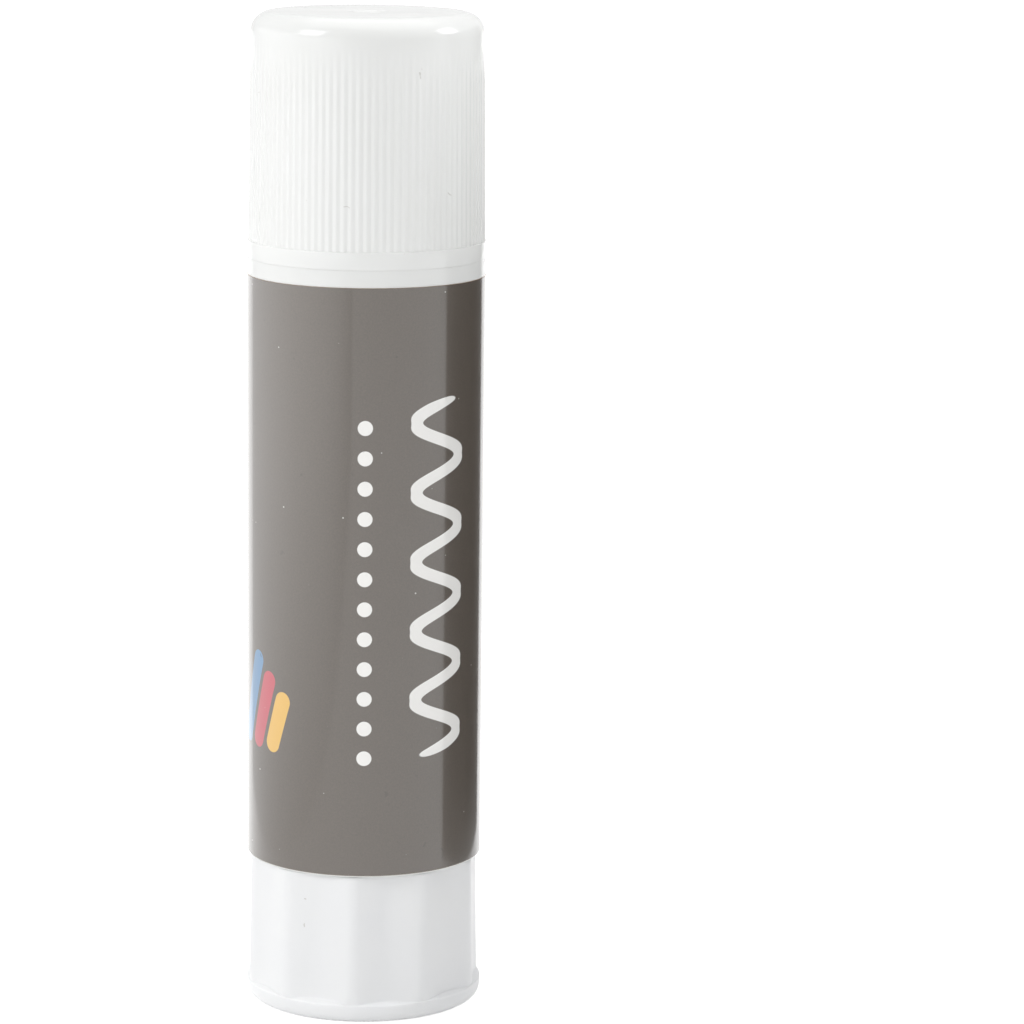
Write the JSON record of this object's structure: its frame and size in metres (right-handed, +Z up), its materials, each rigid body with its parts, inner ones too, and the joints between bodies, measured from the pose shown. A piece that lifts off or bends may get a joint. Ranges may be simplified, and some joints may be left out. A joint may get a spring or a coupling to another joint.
{
  "type": "glue stick",
  "caption": "Twist-up glue stick with a ribbed push-on cap, a wrapped round barrel and a faceted turn knob that raises the glue on a screw.",
  "frame": {"origin": "middle of the face that the stick stands on, under the knob", "axes": "+Z up along the stick, from the knob to the cap; -Y towards the viewer of the picture"},
  "size_m": [0.0206, 0.0206, 0.0865],
  "materials": {
    "barrel_plastic": "white moulded polypropylene, satin gloss",
    "label_film": "printed film, taupe grey, satin",
    "knob_plastic": "white moulded polypropylene, satin gloss",
    "spindle_plastic": "white moulded polypropylene",
    "carrier_plastic": "white moulded polypropylene",
    "glue_paste": "solid white paste, waxy",
    "cap_plastic": "white moulded polypropylene, satin gloss"
  },
  "bodies": {
    "barrel": {"barrel": "barrel_plastic", "label": "label_film"},
    "knob": {"knob": "knob_plastic", "spindle": "spindle_plastic"},
    "carriage": {"carrier": "carrier_plastic", "glue": "glue_paste"},
    "cap": {"cap": "cap_plastic"}
  },
  "joints": [
    {"name": "knob_turn", "type": "hinge", "parent": "barrel", "child": "knob", "pos_m": [0, 0, 0], "axis": [0, 0, 1], "range_deg": [0, 4320]},
    {"name": "glue_lift", "type": "slide", "parent": "barrel", "child": "carriage", "axis": [0, 0, 1], "range_m": [0, 0.048]},
    {"name": "cap_pull", "type": "slide", "parent": "carriage", "child": "cap", "axis": [0, 0, 1], "range_m": [0, 0.03]}
  ],
  "couplings": [
    {"joint": "glue_lift", "follows": "knob_turn", "m_per_rad": 0.00063661}
  ]
}
